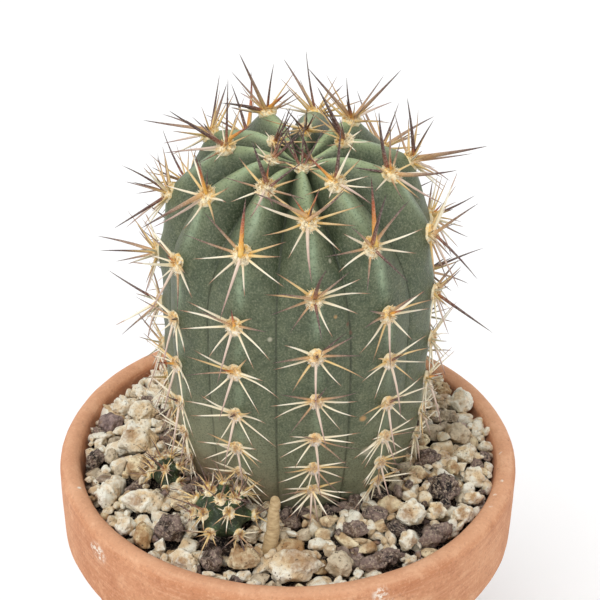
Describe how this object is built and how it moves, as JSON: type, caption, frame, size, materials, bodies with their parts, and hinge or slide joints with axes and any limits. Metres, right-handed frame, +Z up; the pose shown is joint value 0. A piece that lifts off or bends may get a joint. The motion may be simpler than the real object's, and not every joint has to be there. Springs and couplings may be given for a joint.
{
  "type": "potted ribbed cactus",
  "caption": "Short ribbed barrel cactus with rows of long spines and two offsets at its foot, growing in loose pumice and lava stones in a round terracotta pot with a rim band.",
  "frame": {"origin": "centre of the pot's foot, on the surface that the pot stands on", "axes": "+Z up along the pot's axis, -Y towards the front that the picture shows, +X to its right"},
  "size_m": [0.13, 0.13, 0.2246],
  "materials": {
    "terracotta": "matte fired clay, unglazed, with a paler lip and faint lime marks",
    "potting_mix": "matte, crumbly bark and grit",
    "pale_stone": "matte porous cream and white pumice",
    "grey_stone": "matte grey and purplish grey stone",
    "ochre_stone": "matte pumice stained ochre and brown",
    "dark_stone": "matte pitted dark lava",
    "cactus_skin": "satin waxy skin, grey-green with a pale bloom, corky at the foot",
    "offset_skin": "satin dark green skin",
    "spine": "satin horn, cream with brown and dark purple tips",
    "areole_felt": "short cream felt with an ochre heart",
    "dry_wood": "matte dry twig with faint rings"
  },
  "bodies": {
    "root": {"terracotta_pot": "terracotta", "potting_mix": "potting_mix", "gravel_bed": "pale_stone", "cactus_stem": "cactus_skin", "spine_row_01": "spine", "spine_row_02": "spine", "spine_row_03": "spine", "spine_row_04": "spine", "spine_row_05": "spine", "spine_row_06": "spine", "spine_row_07": "spine", "spine_row_08": "spine", "spine_row_09": "spine", "spine_row_10": "spine", "spine_row_11": "spine", "offset_large": "offset_skin", "offset_small": "offset_skin", "dry_twig": "dry_wood", "stone_purple": "grey_stone", "stone_dark_left": "dark_stone", "stone_grey_left": "grey_stone", "stone_big_cream": "pale_stone", "stone_ochre_top": "ochre_stone", "stone_white_lumpy": "pale_stone", "stone_cream_block": "pale_stone", "stone_round_lump": "pale_stone", "stone_pointed": "ochre_stone", "stone_dark_lava": "dark_stone", "stone_stained_pebble": "ochre_stone", "stone_pumice_front": "pale_stone", "stone_dark_front": "dark_stone", "stone_brown_stained": "ochre_stone", "stone_striped_pebble": "grey_stone", "stone_back_left": "pale_stone", "stone_back_left_inner": "pale_stone", "stone_ochre_right": "ochre_stone", "stone_pale_right": "pale_stone", "stone_grey_flat": "grey_stone", "stone_grey_round": "grey_stone", "stone_cream_right": "pale_stone", "stone_round_cream": "pale_stone", "stone_ochre_spot": "ochre_stone", "stone_brown_lava": "dark_stone", "stone_dark_inner": "dark_stone", "stone_stained_inner": "ochre_stone", "stone_flat_cream": "pale_stone", "stone_cream_outer": "pale_stone", "stone_cream_inner": "pale_stone", "stone_cream_grey": "pale_stone", "stone_dark_right": "dark_stone", "stone_peak": "pale_stone", "stone_long_lava": "dark_stone", "stone_grey_rough": "grey_stone", "stone_white_pumice": "pale_stone", "stone_brown_flat": "dark_stone", "stone_rear": "pale_stone"}
  },
  "joints": []
}
